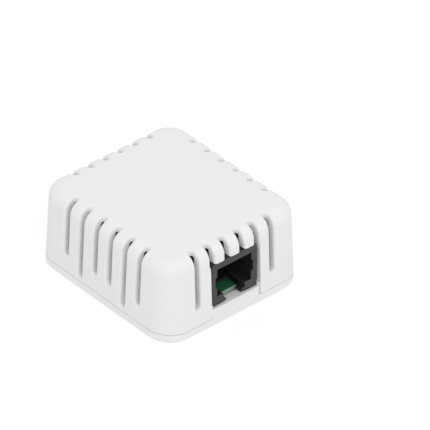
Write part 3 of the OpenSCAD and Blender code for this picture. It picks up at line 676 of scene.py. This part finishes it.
def copper_tracks():
    """Copper tracks under the solder mask, from the jack to the parts and on to the sensor."""
    form = bmesh.new()
    for track in TRACKS:
        add_slab(form, track_outline(track, TRACK_W), BOARD_TOP, COPPER_H / 2)
    board_piece("board_tracks", form, "board_laminate", "masked_copper")


def printed_marks():
    """Printed outlines round the larger parts, a dot at the controller's first lead and two polarity bars."""
    form = bmesh.new()
    for node in OUTLINED:
        corners = [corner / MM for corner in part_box(node)]
        inner = rounded_outline(*plan_box(corners, OUTLINE_GAP), OUTLINE_R)
        outer = rounded_outline(*plan_box(corners, OUTLINE_GAP + INK_W), OUTLINE_R + INK_W)
        add_ring(form, outer, inner, BOARD_TOP, INK_H)
    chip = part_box("controller_chip")[0] / MM
    add_slab(form, circle(chip.x - DOT_OUT, chip.y + DOT_UP, DOT_R), BOARD_TOP, INK_H)
    for node, width in BAR_WIDTHS.items():
        low, high = (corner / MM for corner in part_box(node))
        start = low.x + BAR_START
        bar = rounded_outline((start, low.y + BAR_INSET), (start + width, high.y - BAR_INSET), BAR_R)
        add_slab(form, bar, high.z, INK_H)
    board_piece("board_print", form, "case_plastic", "white_ink")


# The radius at the sharp edges of the nodes that are rounded off
EDGE_RADII = {
    "jack_housing": 0.1,
    "sensor_chip": 0.06,
    "controller_chip": 0.1,
    "regulator_chip": 0.08,
    "surge_diode": 0.08,
    "bulk_capacitor": 0.12,
    "jack_insert": 0.08,
}

vented_cover()
for node, radius in EDGE_RADII.items():
    rounded_node(node, radius * MM)
cut_board()
soldered_pads()
copper_tracks()
printed_marks()
for node, part in NODES.items():
    part.data.materials.clear()
    part.data.materials.append(MATERIALS[SLOT_OF[node]])


# Stage, light and camera

FLOOR_HALF, FLOOR_INSET, FLOOR_DROP, FLOOR_CORNER_STEPS = 3000, 1.0, 0.02, 12
FLOOR_TONE, SHADOW_SHARE, WHITE_LEVEL = 0.85, 0.3, 1.04

# The camera's angles in degrees and its distance in metres. The middle of its picture lies at a height above
# the floor, and then some way to the right and up in the picture.
CAMERA_AZIMUTH, CAMERA_ELEVATION, CAMERA_ROLL = -41.55, 36.284, -0.6714
CAMERA_DISTANCE, AIM_HEIGHT, AIM_RIGHT, AIM_UP = 1.434, 10.25, 10.115, 3.524
FOCAL_PX, IMAGE_PX = 6426.5, 430


def floor_material():
    """White to the camera and in reflections, with a soft shadow, and plain pale to all other light."""
    material = bpy.data.materials.new("floor_white")
    material.use_nodes = True
    nodes, links = material.node_tree.nodes, material.node_tree.links
    nodes.clear()
    output = nodes.new("ShaderNodeOutputMaterial")
    lit = nodes.new("ShaderNodeBsdfDiffuse")
    lit.inputs["Color"].default_value = (FLOOR_TONE, FLOOR_TONE, FLOOR_TONE, 1)
    seen = nodes.new("ShaderNodeBsdfDiffuse")
    seen.inputs["Color"].default_value = (SHADOW_SHARE, SHADOW_SHARE, SHADOW_SHARE, 1)
    glow = nodes.new("ShaderNodeEmission")
    glow.inputs["Strength"].default_value = WHITE_LEVEL - SHADOW_SHARE
    white = nodes.new("ShaderNodeAddShader")
    links.new(seen.outputs["BSDF"], white.inputs[0])
    links.new(glow.outputs["Emission"], white.inputs[1])
    choose = nodes.new("ShaderNodeMixShader")
    links.new(viewed_directly(nodes, links), choose.inputs["Fac"])
    links.new(lit.outputs["BSDF"], choose.inputs[1])
    links.new(white.outputs["Shader"], choose.inputs[2])
    links.new(choose.outputs["Shader"], output.inputs["Surface"])
    return material


def viewed_directly(nodes, links):
    """1 for rays from the camera and for those in reflections and glass, 0 for the rays that light things."""
    path = nodes.new("ShaderNodeLightPath")
    first = nodes.new("ShaderNodeMath")
    first.operation = "MAXIMUM"
    links.new(path.outputs["Is Camera Ray"], first.inputs[0])
    links.new(path.outputs["Is Glossy Ray"], first.inputs[1])
    second = nodes.new("ShaderNodeMath")
    second.operation = "MAXIMUM"
    links.new(first.outputs["Value"], second.inputs[0])
    links.new(path.outputs["Is Transmission Ray"], second.inputs[1])
    return second.outputs["Value"]


def pale_floor():
    """A white floor, open under the base so that the underside shows and is lit from below."""
    form = bmesh.new()
    opening = plan_box([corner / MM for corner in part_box("base")], -FLOOR_INSET)
    outside = [-FLOOR_HALF] * 2, [FLOOR_HALF] * 2
    radius = CORNER_R - FLOOR_INSET
    outlines = [rounded_outline(*box, radius, FLOOR_CORNER_STEPS) for box in (outside, opening)]
    add_loops(form, [(outline, -FLOOR_DROP) for outline in outlines])
    mesh = finish_mesh(form, "floor")
    mesh.materials.append(floor_material())
    floor = bpy.data.objects.new("floor", mesh)
    bpy.context.scene.collection.objects.link(floor)


def soft_world(level):
    """An even grey sky that looks white to the camera."""
    world = bpy.data.worlds.new("soft_world")
    bpy.context.scene.world = world
    world.use_nodes = True
    nodes, links = world.node_tree.nodes, world.node_tree.links
    strength = nodes.new("ShaderNodeMapRange")
    strength.inputs["To Min"].default_value = level
    strength.inputs["To Max"].default_value = 1.0
    links.new(viewed_directly(nodes, links), strength.inputs["Value"])
    links.new(strength.outputs["Result"], nodes["Background"].inputs["Strength"])
    nodes["Background"].inputs["Color"].default_value = (1, 1, 1, 1)


def direction(azimuth, elevation):
    """The way out from the object, in degrees from -Y towards +X and up from the floor."""
    turn, lift = math.radians(azimuth), math.radians(elevation)
    return Vector((math.sin(turn) * math.cos(lift), -math.cos(turn) * math.cos(lift), math.sin(lift)))


def soft_lamp(name, azimuth, elevation, distance, size, power):
    """A square soft box that shines on the object from this direction. Size and distance are in metres."""
    lamp = bpy.data.lights.new(name, "AREA")
    lamp.shape = "SQUARE"
    lamp.size = size
    lamp.energy = power
    away = direction(azimuth, elevation)
    holder = bpy.data.objects.new(name, lamp)
    holder.location = away * distance
    holder.rotation_euler = away.to_track_quat("Z", "Y").to_euler()
    bpy.context.scene.collection.objects.link(holder)


def photo_camera():
    """The camera at the photograph's place: its direction, roll, distance and framing."""
    azimuth, roll = math.radians(CAMERA_AZIMUTH), math.radians(CAMERA_ROLL)
    back = direction(CAMERA_AZIMUTH, CAMERA_ELEVATION)
    level = Vector((math.cos(azimuth), math.sin(azimuth), 0))
    upright = back.cross(level)
    right = math.cos(roll) * level - math.sin(roll) * upright
    up = math.sin(roll) * level + math.cos(roll) * upright
    aim = Vector((0, 0, AIM_HEIGHT * MM)) + right * AIM_RIGHT * MM + up * AIM_UP * MM
    lens = bpy.data.cameras.new("photo_camera")
    lens.sensor_width = 36
    lens.lens = lens.sensor_width * FOCAL_PX / IMAGE_PX
    lens.clip_end = 20
    camera = bpy.data.objects.new("photo_camera", lens)
    place = aim + back * CAMERA_DISTANCE
    camera.matrix_world = Matrix((
        (right.x, up.x, back.x, place.x),
        (right.y, up.y, back.y, place.y),
        (right.z, up.z, back.z, place.z),
        (0, 0, 0, 1)))
    bpy.context.scene.collection.objects.link(camera)
    bpy.context.scene.camera = camera


photo_camera()
pale_floor()
soft_world(level=0.835)
soft_lamp("key_light", azimuth=-23, elevation=48, distance=0.8, size=0.5, power=1.16)
bpy.context.scene.view_settings.view_transform = "Standard"
